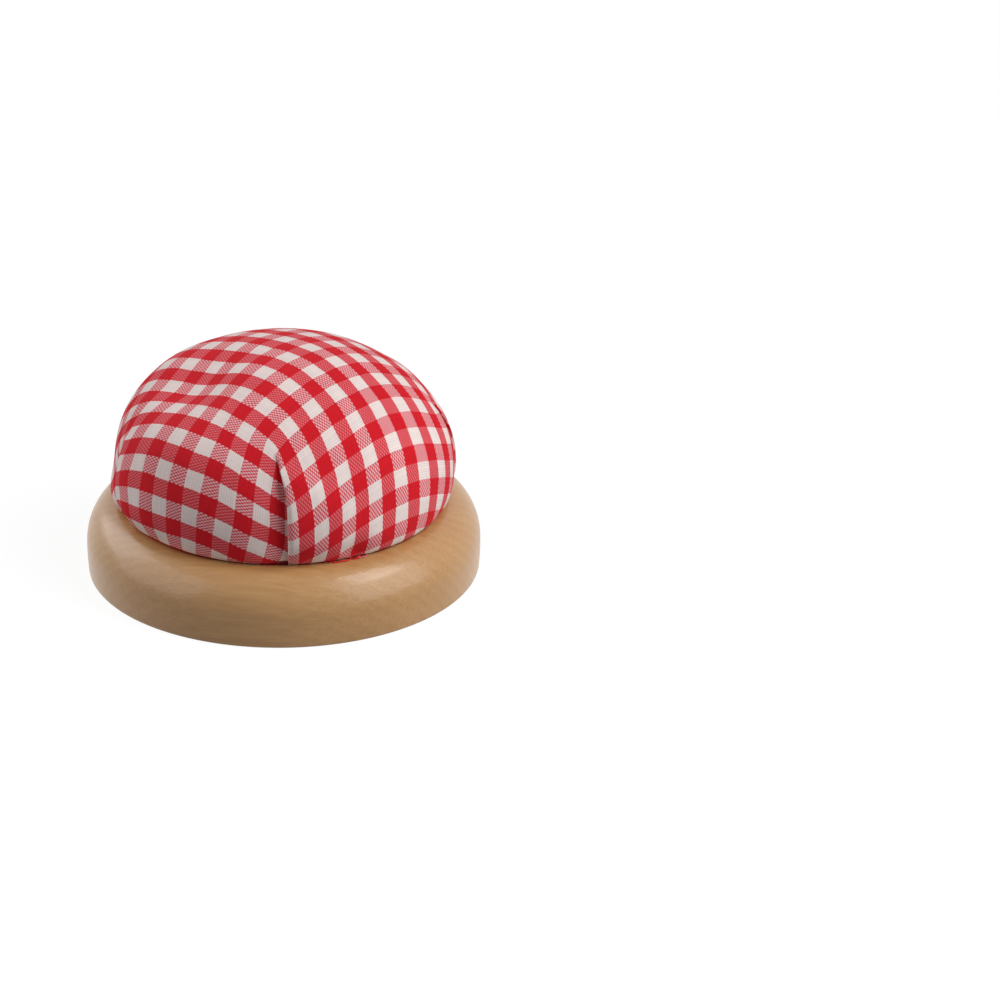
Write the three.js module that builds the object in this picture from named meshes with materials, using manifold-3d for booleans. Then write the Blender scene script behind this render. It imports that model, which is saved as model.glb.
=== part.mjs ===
// A pincushion: a stuffed gingham cushion seated in the recess of a turned wooden base.
// Sizes are in millimetres and +Z is up. The origin is the centre of the base's underside,
// and the front, where the tuck in the cover lies, faces -Y.
import * as THREE from "three";
import { mergeVertices } from "three/addons/utils/BufferGeometryUtils.js";
import Module from "manifold-3d";

// Wooden base
const BASE_DIAMETER = 90;
const BASE_HEIGHT = 16.4;
const FOOT_HEIGHT = 4; // the wall tapers in a little below this
const FOOT_TAPER = 0.2;
const WALL_HEIGHT = 6.6; // where the straight wall starts to round over
const RIM_WIDTH = 8.1; // from the wall in to the crest of the rim
const LIP_RADIUS = 1.3; // rounding from the crest down into the recess
const RECESS_DEPTH = 9.4;
const RECESS_FILLET = 1;

// Cushion
const BULGE_OVERHANG = 2.1; // how far the cushion stands out past the rim's crest
const BULGE_RISE = 8.3; // from the rim's crest up to the widest part
const CROWN_RISE = 28.5; // from the widest part up to the top
const CROWN_FULLNESS = 2.08; // 2 makes the crown an ellipse, and more makes it squarer
const CORNER_BEVEL = 3; // bevel round the cushion's underside
const CLOTH_THICKNESS = 0.4;
const CLEARANCE = 0.3; // gap between pieces that follow each other's curves

// Tucks that take up the cover's fullness, one at each bias corner of the cloth
const TUCK_COUNT = 4;
const TUCK_AZIMUTH = 4.7; // degrees from the front to the first one, towards +X, at the widest part
const TUCK_LEAN = 7; // degrees that a tuck's point lies back from its foot
const TUCK_CURL = 5; // how late the lean comes on: at 1 it grows evenly up the tuck
const TUCK_HEIGHT = 19; // from the widest part up to its point
const TUCK_STEP = 1; // the folded flap's height over the cloth beside it
const TUCK_SPREAD = 10; // distance in which the flap settles back into the crown
const TUCK_FADE = 6; // height in which the step dies away at each end
const TUCK_CROWDING = 0.65; // share by which the columns of facets close up on the tuck

// Underside
const MOUTH_DIAMETER = 26; // opening that the gathered hem leaves
const HEM_LENGTH = 2; // cloth turned in past the thread
const THREAD_DIAMETER = 0.8;
const DISC_THICKNESS = 1.5;
const GLUE_WIDTH = 10;
const GLUE_SETBACK = 2; // from the end of the hem to the glue

// Facets
const BASE_COLUMNS = 96;
const CUSHION_COLUMNS = 36;
const INNER_COLUMNS = 60;

// Heights and radii that follow from the sizes above
const wallRadius = BASE_DIAMETER / 2;
const crestRadius = wallRadius - RIM_WIDTH;
const recessRadius = crestRadius - LIP_RADIUS;
const recessFloor = BASE_HEIGHT - RECESS_DEPTH;
const lipCentre = BASE_HEIGHT - LIP_RADIUS;

const seatHeight = BASE_HEIGHT + CLEARANCE;
const widestHeight = BASE_HEIGHT + BULGE_RISE;
const hemInside = THREAD_DIAMETER / 2 + CLEARANCE;
const hemOutside = hemInside + CLOTH_THICKNESS;
const hemRadius = MOUTH_DIAMETER / 2 + hemOutside;
const hemCentre = recessFloor + CLEARANCE + hemOutside;
const underside = hemCentre + hemInside;
const cornerCentreRadius = recessRadius - CLEARANCE - CORNER_BEVEL;
const cornerCentre = underside + CORNER_BEVEL;

const discFloor = underside + CLOTH_THICKNESS;
const discTop = discFloor + DISC_THICKNESS;
const discRadius = cornerCentreRadius - CLEARANCE;
const glueThickness = underside - recessFloor;
const glueInnerRadius = hemRadius + HEM_LENGTH + GLUE_SETBACK;
const knotRadius = (THREAD_DIAMETER + CLEARANCE) / 2;

const wasm = await Module();
wasm.setup();

function point(radius, height) {
  return new THREE.Vector2(radius, height);
}

// Points on an elliptic arc between two angles in degrees, both ends included.
function arc(centreRadius, centreHeight, across, up, from, to, steps) {
  const points = [];
  for (let step = 0; step <= steps; step += 1) {
    const angle = THREE.MathUtils.degToRad(from + ((to - from) * step) / steps);
    points.push(point(centreRadius + across * Math.cos(angle), centreHeight + up * Math.sin(angle)));
  }
  return points;
}

// A profile turned about the upright axis, with its first column at the front.
function turned(profile, columns) {
  return new THREE.LatheGeometry(profile, columns).rotateX(Math.PI / 2);
}

function solidOf(geometry) {
  const bare = geometry.clone();
  bare.deleteAttribute("normal");
  bare.deleteAttribute("uv");
  const merged = mergeVertices(bare, 1e-3);
  return new wasm.Manifold(
    new wasm.Mesh({
      numProp: 3,
      vertProperties: merged.attributes.position.array,
      triVerts: new Uint32Array(merged.index.array),
    }),
  );
}

function geometryOf(solid) {
  const mesh = solid.getMesh();
  const geometry = new THREE.BufferGeometry();
  geometry.setAttribute("position", new THREE.BufferAttribute(mesh.vertProperties, 3));
  geometry.setIndex(new THREE.BufferAttribute(mesh.triVerts, 1));
  geometry.computeVertexNormals();
  return geometry;
}

function piece(name, geometry, colour, roughness) {
  const material = new THREE.MeshStandardMaterial({ color: colour, roughness, metalness: 0 });
  const mesh = new THREE.Mesh(geometry, material);
  mesh.name = name;
  return mesh;
}

// The base: flat underside, straight wall, rounded rim and a flat-bottomed recess.
function woodBase() {
  const rimRise = BASE_HEIGHT - WALL_HEIGHT;
  const recessCorner = point(recessRadius - RECESS_FILLET, recessFloor + RECESS_FILLET);
  const profile = [
    point(0, 0),
    point(wallRadius - FOOT_TAPER, 0),
    point(wallRadius, FOOT_HEIGHT),
    ...arc(crestRadius, WALL_HEIGHT, RIM_WIDTH, rimRise, 0, 90, 9),
    ...arc(crestRadius, lipCentre, LIP_RADIUS, LIP_RADIUS, 90, 180, 4).slice(1),
    ...arc(recessCorner.x, recessCorner.y, RECESS_FILLET, RECESS_FILLET, 0, -90, 3),
    point(0, recessFloor),
  ];
  return piece("wood_base", turned(profile, BASE_COLUMNS), 0xc29a64, 0.35);
}

// The cushion's side from the top down to the wall of the recess, moved in by an inset.
function cushionSide(inset, crownSteps, bulgeSteps) {
  const across = crestRadius + BULGE_OVERHANG - inset;
  const up = CROWN_RISE - inset;
  const crown = arc(0, 0, 1, 1, 90, 0, crownSteps).map((unit, step) => {
    const radius = step === 0 ? 0 : across * unit.x ** (2 / CROWN_FULLNESS);
    const rise = step === crownSteps ? 0 : up * unit.y ** (2 / CROWN_FULLNESS);
    return point(radius, widestHeight + rise);
  });
  const bulgeDrop = widestHeight - seatHeight - inset;
  const neckRadius = LIP_RADIUS + CLEARANCE + inset;
  return [
    ...crown,
    ...arc(crestRadius, widestHeight, BULGE_OVERHANG - inset, bulgeDrop, 0, -90, bulgeSteps).slice(1),
    ...arc(crestRadius, lipCentre, neckRadius, neckRadius, 90, 180, 2).slice(1),
  ];
}

// The bevel that a stiff disc gives the cushion between its side and its underside.
function cushionCorner(inset) {
  const bevel = CORNER_BEVEL - inset;
  return [point(cornerCentreRadius + bevel, cornerCentre), point(cornerCentreRadius, cornerCentre - bevel)];
}

// The first tuck's azimuth in radians: upright at the widest part, then curving over.
function tuckAzimuth(height) {
  const climb = THREE.MathUtils.clamp((height - widestHeight) / TUCK_HEIGHT, 0, 1);
  return THREE.MathUtils.degToRad(TUCK_AZIMUTH - TUCK_LEAN * climb ** TUCK_CURL);
}

// How far the folded flap stands out, on its own side of the tuck only.
function tuckLift(turn, radius, height) {
  if (turn < 0) {
    return 0;
  }
  const pointHeight = widestHeight + TUCK_HEIGHT;
  const foot = THREE.MathUtils.smoothstep(height, seatHeight, seatHeight + TUCK_FADE);
  const head = 1 - THREE.MathUtils.smoothstep(height, pointHeight - TUCK_FADE, pointHeight);
  return TUCK_STEP * foot * head * Math.exp((-turn * radius) / TUCK_SPREAD);
}

// A turned cushion whose columns lean with the tucks; the flaps lift the rows from one on.
function tucked(profile, firstLiftedRow) {
  const geometry = turned(profile, CUSHION_COLUMNS);
  const position = geometry.attributes.position;
  const columnsPerTuck = CUSHION_COLUMNS / TUCK_COUNT;
  const columnTurn = (2 * Math.PI) / CUSHION_COLUMNS;
  for (let vertex = 0; vertex < position.count; vertex += 1) {
    const column = Math.floor(vertex / profile.length) % CUSHION_COLUMNS;
    const tuckColumn = columnsPerTuck * Math.round(column / columnsPerTuck);
    const evenTurn = columnTurn * (column - tuckColumn);
    const turn = evenTurn - (TUCK_CROWDING / TUCK_COUNT) * Math.sin(TUCK_COUNT * evenTurn);
    const nearness = (1 + Math.cos(TUCK_COUNT * turn)) / 2;
    const row = vertex % profile.length;
    const { x: radius, y: height } = profile[row];
    const azimuth = columnTurn * tuckColumn + turn + nearness * tuckAzimuth(height);
    const lift = row < firstLiftedRow ? 0 : tuckLift(turn, radius, height);
    const reach = radius + lift;
    position.setXYZ(vertex, reach * Math.sin(azimuth), -reach * Math.cos(azimuth), height);
  }
  geometry.computeVertexNormals();
  return geometry;
}

// The cover: one cloth, gathered below into a hem that turns in round the thread.
function cushionCover() {
  const hemEnd = hemRadius + HEM_LENGTH;
  const inside = [
    ...cushionSide(CLOTH_THICKNESS, 4, 1),
    ...cushionCorner(CLOTH_THICKNESS),
    ...arc(hemRadius, hemCentre, hemOutside, hemOutside, 90, 270, 3),
    point(hemEnd, hemCentre - hemOutside),
  ];
  const underneath = [
    point(hemEnd, hemCentre - hemInside),
    ...arc(hemRadius, hemCentre, hemInside, hemInside, 270, 90, 3),
    ...cushionCorner(0).reverse(),
  ];
  const outside = cushionSide(0, 8, 3).reverse();
  const geometry = tucked([...inside, ...underneath, ...outside], inside.length + underneath.length);
  return piece("cushion_cover", geometry, 0xd4666b, 0.9);
}

// The filling, flat where it sits on the disc.
function stuffing() {
  const side = cushionSide(CLOTH_THICKNESS + CLEARANCE, 4, 1).reverse();
  const profile = [
    point(0, discTop),
    point(discRadius, discTop),
    point(side[0].x, Math.max(cornerCentre, discTop)),
    ...side,
  ];
  return piece("stuffing", tucked(profile, profile.length), 0xf1ede4, 1);
}

function backingDisc() {
  const geometry = new THREE.CylinderGeometry(discRadius, discRadius, DISC_THICKNESS, INNER_COLUMNS);
  const mesh = piece("backing_disc", geometry.rotateX(Math.PI / 2), 0xb08d5f, 0.9);
  mesh.position.z = (discFloor + discTop) / 2;
  return mesh;
}

// The gathering thread: a drawn-up loop with its knot in the open side of the hem.
function gatheringThread() {
  const loop = new THREE.TorusGeometry(hemRadius, THREAD_DIAMETER / 2, 8, INNER_COLUMNS);
  const knot = new THREE.SphereGeometry(knotRadius, 10, 8).translate(0, hemRadius + THREAD_DIAMETER / 2, 0);
  const mesh = piece("gathering_thread", geometryOf(solidOf(loop).add(solidOf(knot))), 0xe8e4da, 0.8);
  mesh.position.z = hemCentre;
  return mesh;
}

// The glue: a ring with rounded edges, pressed flat between the recess floor and the cover.
function glueRing() {
  const half = glueThickness / 2;
  const middle = recessFloor + half;
  const inner = glueInnerRadius + half;
  const outer = glueInnerRadius + GLUE_WIDTH - half;
  const outerEdge = arc(outer, middle, half, half, -90, 90, 6);
  const innerEdge = arc(inner, middle, half, half, 90, 270, 6);
  const profile = [...outerEdge, ...innerEdge, outerEdge[0]];
  return piece("glue_ring", turned(profile, INNER_COLUMNS), 0xe6dcc0, 0.4);
}

const pincushion = new THREE.Group();
pincushion.add(woodBase());
pincushion.add(cushionCover());
pincushion.add(stuffing());
pincushion.add(backingDisc());
pincushion.add(gatheringThread());
pincushion.add(glueRing());

export default pincushion;
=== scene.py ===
"""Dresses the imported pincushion: a stuffed gingham cushion in a turned wooden base.

Shapes are worked out in millimetres and become metres as a mesh is made. Azimuths are in
degrees from the front, which is -Y, towards +X.
"""
import math

import bmesh
import bpy
import numpy as np
from mathutils import Matrix, Vector, noise


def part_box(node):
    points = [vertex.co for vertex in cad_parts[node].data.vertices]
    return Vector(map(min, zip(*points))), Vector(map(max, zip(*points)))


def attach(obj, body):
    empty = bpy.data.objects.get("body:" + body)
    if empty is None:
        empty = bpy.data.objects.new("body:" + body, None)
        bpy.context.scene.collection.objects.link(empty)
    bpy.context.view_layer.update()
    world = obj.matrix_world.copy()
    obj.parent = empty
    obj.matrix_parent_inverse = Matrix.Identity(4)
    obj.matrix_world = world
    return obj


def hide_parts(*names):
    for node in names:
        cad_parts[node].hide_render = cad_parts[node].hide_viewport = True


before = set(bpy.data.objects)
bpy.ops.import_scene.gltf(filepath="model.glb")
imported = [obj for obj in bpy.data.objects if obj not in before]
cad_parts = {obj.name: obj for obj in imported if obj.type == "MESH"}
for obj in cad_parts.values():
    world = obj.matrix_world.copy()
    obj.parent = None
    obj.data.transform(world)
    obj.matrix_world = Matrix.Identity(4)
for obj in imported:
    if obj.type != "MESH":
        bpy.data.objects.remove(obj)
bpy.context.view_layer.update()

MM = 0.001
CLOTH_MAP = "OFBake"  # UV map that keeps each point's place on the flat cloth
WELD_DISTANCE = 0.001
CLOSE = 1e-6  # points on the cloth nearer than this are one
CLOSE_TURN = 1e-9  # and so are turns, in radians
NOT_ZERO = 1e-12  # added to a length before it divides

# Photograph's camera
CAMERA_PLACE = (49.4, -816.4, 392.1)
CAMERA_PITCH = 24.74  # degrees that it looks down
CAMERA_ROLL = 0.62
CAMERA_LENS = 141.7
CAMERA_SENSOR = 36

# Lamps: azimuth, elevation, distance and size in metres, and how bright each makes a white surface
# that faces it
LAMPS = {
    "key": (66, 25, 1.1, 1.0, 0.74),
    "high_key": (72, 52, 1.1, 0.5, 0.41),
    "fill": (-78, 23, 1.3, 1.4, 0.55),
    "back_fill": (-124, 28, 1.1, 0.7, 0.30),
}
AMBIENT = 0.06  # strength of the world's light on the object

# Floor
FLOOR_RINGS = (0, 200, 3000)
FLOOR_DROP = 0.02  # how far it lies below the base
FLOOR_COLUMNS = 64
FLOOR_TINT = (0.12, 0.12, 0.12, 1)
FLOOR_GLOW = 0.92  # what it adds to its tint where it is seen

# Wooden base
RIM_WIDTH = 8.1  # from the wall in to the crest of the rim
WALL_HEIGHT = 6.6  # where the straight wall starts to round over
FOOT_HEIGHT = 4  # the wall tapers in a little below this
FOOT_TAPER = 0.2
FOOT_EASE = 0.5  # rounding of the edge that it stands on
LIP_RADIUS = 1.3  # rounding from the crest down into the recess
RECESS_DEPTH = 9.4
RECESS_FILLET = 1
BASE_COLUMNS = 240
EASE_STEPS = 4
RIM_STEPS = 28
LIP_STEPS = 8
FILLET_STEPS = 5

# Cushion
BULGE_OVERHANG = 2.1  # how far the cushion stands out past the rim's crest
BULGE_RISE = 8.3  # from the rim's crest up to the widest part
CROWN_FULLNESS = 2.08  # 2 makes the crown an ellipse, and more makes it squarer
CORNER_BEVEL = 3  # bevel round the cushion's underside
CLEARANCE = 0.3  # gap between pieces that follow each other's curves
CLOTH_THICKNESS = 0.35
CROWN_STEPS = 1500
BULGE_STEPS = 300

# Tucks: azimuth at the widest part, lean from there to the point, how late the lean comes on as a
# power, how far the tuck stands out by the front one, and its point on the flat cloth, when the
# cloth has made a quarter turn for each tuck before it
TUCKS = (
    (4.1, 5.5, 5, 1.0, 25.9 + 29.0j),
    (94.1, 5.5, 5, 0.25, 25.9 + 29.0j),
    (184.1, 5.5, 5, 0.5, 25.9 + 29.0j),
    (291.0, 8.0, 1, 0.8, 36.0 + 17.0j),
)
TUCK_HEIGHT = 19
TUCK_LAYER = 0.4  # height that each fold of cloth adds
TUCK_RUN_IN = 12  # distance from a tuck's point in which its layers part
TUCK_PUFF = 0.5  # how far the filling lifts the flap's edge
TUCK_PUFF_WIDTH = 8
TUCK_HOLLOW = 1.3  # how far the cloth beside the flap is drawn in
TUCK_HOLLOW_WIDTH = 6
TUCK_SINK = 0.6  # how far the layers turned under press into the filling
TUCK_SINK_RUN_IN = 2  # distance in from the tuck's two legs in which they sink
TUCK_ASIDE_WIDTH = 4  # width beside a tuck in which the rim presses the cloth in
FLAP_STEP = (0.95, 1.5)  # where the flap comes down off the layers, by their width
UNDER_SHARE = 0.15  # share of a layer's height that the layer turned under keeps
RIM_FADE = 6  # height above the rim in which the layers press flat

# Cloth, cut on a circle, with its threads along p and q
CUT_RADIUS = 96
CLOTH_TURN = 45  # azimuth of the threads along p
NET_REACH = 77  # radius of the net of threads that is draped
COARSE_SPACING = 2.0
FINE_SPACING = 1.0
COARSE_SWEEPS = 1000
FINE_SWEEPS = 160
SHEAR_STIFFNESS = 0.03
SLACK_STIFFNESS = 0.2  # how much a thread resists being shortened, by its hold on its length
EVENING = 0.2  # how far each sweep evens out neighbouring threads
FOLD_HOLD = 0.5  # how far each sweep brings a fold back to its tuck
SETTLE_STEPS = 2
DART_ANGLE = math.radians(67.3)  # cloth that each tuck takes up
CHECK_REPEAT = 7.6
FIRST_RED = 11.6 + 9.0j  # middle of the red square that is counted from
ANCHOR_WIDTH = 6
ANCHOR_STRENGTH = 0.2
# Where squares of the photograph's cloth lie on the crown: azimuth and height, by column and row of
# the red squares; a half column is the white band between two
ANCHORS = {
    (0, 0): (11.7, 52.2),
    (0, -2): (93.5, 52.0),
    (0, 2): (-17.9, 47.4),
    (2, 2): (5.0, 41.6),
    (4, 2): (10.5, 27.5),
    (2, -1): (47.1, 47.5),
    (5, -1): (40.2, 28.8),
    (4, 0): (30.4, 34.4),
    (2, 5): (1.1, 23.2),
    (-2, 3): (-49.3, 43.7),
    (-2, 6): (-47.0, 22.8),
    (0, 4): (-21.5, 37.5),
    (-3, 4): (-62.7, 36.0),
    (-3.5, 4): (-69.8, 33.5),
    (-3, 5): (-61.5, 28.9),
    (-3.5, 5): (-67.5, 26.8),
    (-3.5, 6): (-64.5, 21.4),
}
# Dents in the filling: azimuth, height, half length, half width above and below, depth, and tilt in
# degrees; a bulge has a depth below 0
DENTS = (
    (-68, 48.2, 12.0, 13.0, 8.0, 3.3, 25),
    (-103, 45.5, 12.0, 9.0, 9.0, -1.0, 0),
    (-40, 39.5, 13.0, 6.0, 6.0, -0.8, 0),
    (-84, 28.0, 11.0, 9.0, 7.0, 0.8, 0),
    (-78, 20.5, 11.0, 3.0, 3.5, -1.1, 0),
    (150, 45.0, 11.0, 6.0, 4.0, 0.9, 12),
)
PUCKER_START = 1  # height above the rim at which a pucker is at its full depth
# Puckers where the cover is drawn into the recess: azimuth, depth, half width, height
PUCKERS = (
    (-65, 1.3, 2.4, 6.0),
    (-46, 0.5, 5.0, 3.0),
    (27, 1.0, 2.6, 4.5),
    (72, 0.5, 3.0, 4.5),
    (118, 0.7, 2.4, 4.5),
    (163, 0.6, 2.8, 4.5),
    (214, 0.8, 2.2, 4.5),
    (255, 0.5, 2.8, 4.5),
)
LUMP_HEIGHT = 0.25
LUMP_SIZE = 11

# Yarns worked loose at the rim: azimuth, half length, reach past the crest, place on the cloth
FRAYED_YARNS = (
    (23.0, 2.6, 0.75, FIRST_RED),
    (31.0, 1.2, 0.75, FIRST_RED + CHECK_REPEAT / 2),
    (28.5, 1.1, 0.7, FIRST_RED),
)
YARN_RADIUS = 0.14
YARN_WAVES = 3
YARN_WAVE_HEIGHT = 1.5  # by the yarn's radius
YARN_STEPS = 48
TUBE_SIDES = 6

# Underside of the cover, drawn up by the thread
COVER_DROP = 8  # draped cloth that is made below the rim
TRIM_LAP = 0.5  # how far above the bevel it is trimmed
HEM_LENGTH = 2  # cloth turned in past the thread
GATHERS = 36
GATHER_HEIGHT = 0.21
GATHER_SWAY = 0.8  # how far the gathers stray from even spacing
GATHER_SWAYS = 5
GATHER_REACH = 4  # from the hem to where the gathers start to die away
UNDERSIDE_ROWS = 24
UNDERSIDE_COLUMNS = 288
HEM_STEPS = 8

# Gathering thread
THREAD_DIAMETER = 0.8
THREAD_TWISTS = 70
THREAD_STEPS = 900
KNOT_TURN_RADIUS = 0.36
KNOT_STRAND_RADIUS = 0.17
KNOT_TILTS = (-0.5, 0.1, 0.6)  # radians
KNOT_STEPS = 40

# Filling
FILLING_INSET = 2.4  # from the cover's outside
FILLING_FLAT = 1  # height above the disc in which it has no lumps
FILLING_LUMP_SIZE = 7
FILLING_LUMP_SHARE = 0.012
FILLING_LUMP_DETAIL = (0.8, 2.0, 3)  # how smooth, step in size and number of sizes
FILLING_ROWS = 60
FILLING_COLUMNS = 144

# Weave
A_YARNS = 11  # in each band of colour, running along p
B_YARNS = 7
WHITE_YARN = (0.90, 0.76, 0.73, 1)
WHITE_A_PAINTED_RED_BOUNCE = (0.88, 0.53, 0.56, 1)  # a white A yarn among red B yarns, painted pinker and darker: painted red bounce light and shade
# a white B yarn among red A yarns, painted pinker and darker in the same way: painted red bounce light
# and shade
WHITE_B_PAINTED_RED_BOUNCE = (0.80, 0.18, 0.205, 1)
RED_YARN = (0.69, 0.011, 0.021, 1)
FLOAT_SLANT = 0.58  # at 0.5 the floats stand straight, and at 1 they join up in diagonals
FLOAT_EDGE = 0.6  # softness of a float's edge
FLOAT_SHOW = 0.04  # share of the yarn beneath that shows through a float
YARN_TONES = (0.92, 1.04)
FLOAT_PAINTED_SHADE = (0.82, 1.03)  # painted shade where the yarns dip under each other: brightness at a float's edge and in its middle
WOBBLE = 0.12  # how far the threads stray
WOBBLE_LENGTH = 5

# Wood grain: features in each millimetre along the grain, across it and up
GRAIN_TURN = 8  # degrees
RING_LEAN = 0.8  # how far the rings step aside for each millimetre up
RING_BEND = (0.012, 0.03, 0.03)
RING_BEND_REACH = 9  # millimetres
RING_PITCH = 1.9  # radians for each millimetre across
FIBRES = (0.05, 1.3, 1.3)
FLECKS = (0.35, 2.6, 2.6)
CLOUDS = (0.03, 0.09, 0.09)

# Other colours
WHITE = (1, 1, 1, 1)
WOOD_DARK = (0.402, 0.198, 0.065, 1)
WOOD_PALE = (0.52, 0.287, 0.112, 1)
WOOD_PORE = (0.24, 0.11, 0.04, 1)
FIBRE_DARK = (0.62, 0.59, 0.54, 1)
FIBRE_PALE = (0.86, 0.84, 0.80, 1)
CARD_DARK = (0.30, 0.21, 0.12, 1)
CARD_PALE = (0.50, 0.37, 0.23, 1)
CARD_SPECK = (0.14, 0.10, 0.07, 1)
COTTON_DARK = (0.66, 0.63, 0.56, 1)
COTTON_PALE = (0.86, 0.83, 0.77, 1)
GLUE_DARK = (0.62, 0.52, 0.33, 1)
GLUE_PALE = (0.82, 0.76, 0.60, 1)
GLUE_BUBBLE = (0.9, 0.87, 0.78, 1)

# Shapes that follow from the frame and the sizes above
wall_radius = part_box("wood_base")[1].x / MM
base_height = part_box("wood_base")[1].z / MM
crown_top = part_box("cushion_cover")[1].z / MM
crest_radius = wall_radius - RIM_WIDTH
recess_radius = crest_radius - LIP_RADIUS
recess_floor = base_height - RECESS_DEPTH
lip_centre = base_height - LIP_RADIUS
neck_radius = LIP_RADIUS + CLEARANCE
seat_height = base_height + CLEARANCE
widest_height = base_height + BULGE_RISE
bulge_drop = widest_height - seat_height
crown_radius = crest_radius + BULGE_OVERHANG
crown_rise = crown_top - widest_height
corner_radius = recess_radius - CLEARANCE - CORNER_BEVEL
disc_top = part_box("backing_disc")[1].z / MM
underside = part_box("glue_ring")[1].z / MM
knot_radius = (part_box("gathering_thread")[1].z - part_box("gathering_thread")[0].z) / MM / 2
thread_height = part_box("gathering_thread")[1].z / MM - knot_radius
hem_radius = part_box("gathering_thread")[1].x / MM - THREAD_DIAMETER / 2


def smooth(low, high, value):
    share = np.clip((value - low) / (high - low), 0, 1)
    return share * share * (3 - 2 * share)


def placed(azimuth, radius, height):
    return np.stack([radius * np.sin(azimuth), -radius * np.cos(azimuth), height + 0 * azimuth], -1)


def arc(centre, across, up, start, end, steps):
    angles = np.radians(np.linspace(start, end, steps + 1))
    return np.stack([centre[0] + across * np.cos(angles), centre[1] + up * np.sin(angles)], -1)


def mesh_piece(name, points, faces):
    mesh = bpy.data.meshes.new(name)
    mesh.from_pydata((np.asarray(points) * MM).tolist(), [], [list(map(int, face)) for face in faces])
    mesh.polygons.foreach_set("use_smooth", [True] * len(mesh.polygons))
    piece = bpy.data.objects.new(name, mesh)
    bpy.context.scene.collection.objects.link(piece)
    return piece


def grid_faces(rows, columns):
    """Quads of a grid that closes on itself from its last column to its first."""
    row, column = np.meshgrid(np.arange(rows - 1), np.arange(columns), indexing="ij")
    after = (column + 1) % columns
    corners = [row * columns + column, row * columns + after]
    corners += [(row + 1) * columns + after, (row + 1) * columns + column]
    return np.stack(corners, -1).reshape(-1, 4)


def turned(profile, columns):
    """Points and faces of a profile turned about the upright axis, outside on its right."""
    azimuth = np.linspace(0, 2 * np.pi, columns, endpoint=False)
    radius, height = profile[:, :1], profile[:, 1:]
    points = placed(azimuth[None, :] + 0 * radius, radius, height)
    return points.reshape(-1, 3), grid_faces(len(profile), columns)


def weld(piece, distance):
    body = bmesh.new()
    body.from_mesh(piece.data)
    bmesh.ops.remove_doubles(body, verts=body.verts, dist=distance * MM)
    bmesh.ops.recalc_face_normals(body, faces=body.faces)
    body.to_mesh(piece.data)
    body.free()


def rim_height(radius):
    share = np.clip((radius - crest_radius) / RIM_WIDTH, 0, 1)
    return WALL_HEIGHT + (base_height - WALL_HEIGHT) * np.sqrt(1 - share**2)


def crown_profile():
    """Distance along the cushion's side from the top, with the radius and height there."""
    turn = np.linspace(np.pi / 2, 0, CROWN_STEPS)
    radius = crown_radius * np.cos(turn) ** (2 / CROWN_FULLNESS)
    radius[0] = 0
    height = widest_height + crown_rise * np.abs(np.sin(turn)) ** (2 / CROWN_FULLNESS)
    centre = (crest_radius, widest_height)
    bulge = arc(centre, BULGE_OVERHANG, bulge_drop, 0, -90, BULGE_STEPS)[1:]
    radius = np.concatenate([radius, bulge[:, 0], [crest_radius]])
    height = np.concatenate([height, bulge[:, 1], [seat_height - NET_REACH]])
    steps = np.hypot(np.diff(radius), np.diff(height))
    return np.concatenate([[0], np.cumsum(steps)]), radius, height


CROWN_PROFILE = crown_profile()


def settle(points):
    """Moves points on to the crown and bulge, which carry on as a straight tube below the rim."""
    for _ in range(SETTLE_STEPS):
        radius = np.hypot(points[..., 0], points[..., 1]) + NOT_ZERO
        rise = points[..., 2] - widest_height
        above = rise >= 0
        across = radius / crown_radius
        up = np.where(above, rise, 0) / crown_rise
        total = across**CROWN_FULLNESS + up**CROWN_FULLNESS
        size = total ** (1 / CROWN_FULLNESS)
        drop = np.clip(-rise / bulge_drop, 0, 1)
        bulge = crest_radius + BULGE_OVERHANG * np.sqrt(1 - drop**2)
        error = np.where(above, size - 1, (radius - bulge) / crown_radius)
        slope = size / total
        outward = np.where(above, slope * across ** (CROWN_FULLNESS - 1), 1) / crown_radius
        upward = np.where(above, slope * up ** (CROWN_FULLNESS - 1), 0) / crown_rise
        step = -error / (outward**2 + upward**2)
        points[..., :2] *= (1 + step * outward / radius)[..., None]
        points[..., 2] += step * upward
    return points


def crown_normals(points):
    radius = np.hypot(points[..., 0], points[..., 1]) + NOT_ZERO
    rise = np.maximum(points[..., 2] - widest_height, -bulge_drop)
    above = rise >= 0
    crown = (radius / crown_radius) ** (CROWN_FULLNESS - 1) / crown_radius
    outward = np.where(above, crown, (radius - crest_radius) / BULGE_OVERHANG**2)
    crown = (np.maximum(rise, 0) / crown_rise) ** (CROWN_FULLNESS - 1) / crown_rise
    upward = np.where(above, crown, rise / bulge_drop**2)
    size = np.hypot(outward, upward)
    outward = outward / size / radius
    return np.stack([points[..., 0] * outward, points[..., 1] * outward, upward / size], -1)


def tuck_azimuth(height, tuck):
    azimuth, lean, curl = TUCKS[tuck][:3]
    climb = np.clip((height - widest_height) / TUCK_HEIGHT, -1, 1)
    return np.radians(azimuth - lean * np.sign(climb) * np.abs(climb) ** curl)


def from_dart(cloth, tuck):
    """Cloth points as seen from a tuck's point, with its fold along the real axis."""
    return cloth * 1j**tuck - TUCKS[tuck][-1]


def cloth_grid(spacing):
    marks = np.arange(-NET_REACH, NET_REACH + spacing / 2, spacing)
    along_p, along_q = np.meshgrid(marks, marks, indexing="ij")
    return along_p + 1j * along_q


def tuck_layers(cloth):
    """0 on the open cloth, and in tuck k 1 + 2k on the layer turned under, 2 + 2k on the lowest."""
    layers = np.zeros(cloth.shape, int)
    for tuck in range(len(TUCKS)):
        seen = from_dart(cloth, tuck)
        turn = np.angle(seen)
        inside = (turn > -CLOSE_TURN) & (turn <= DART_ANGLE) & (np.abs(seen) > CLOSE)
        layers[inside] = np.where(turn[inside] < DART_ANGLE / 2, 1, 2) + 2 * tuck
    return layers


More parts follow.
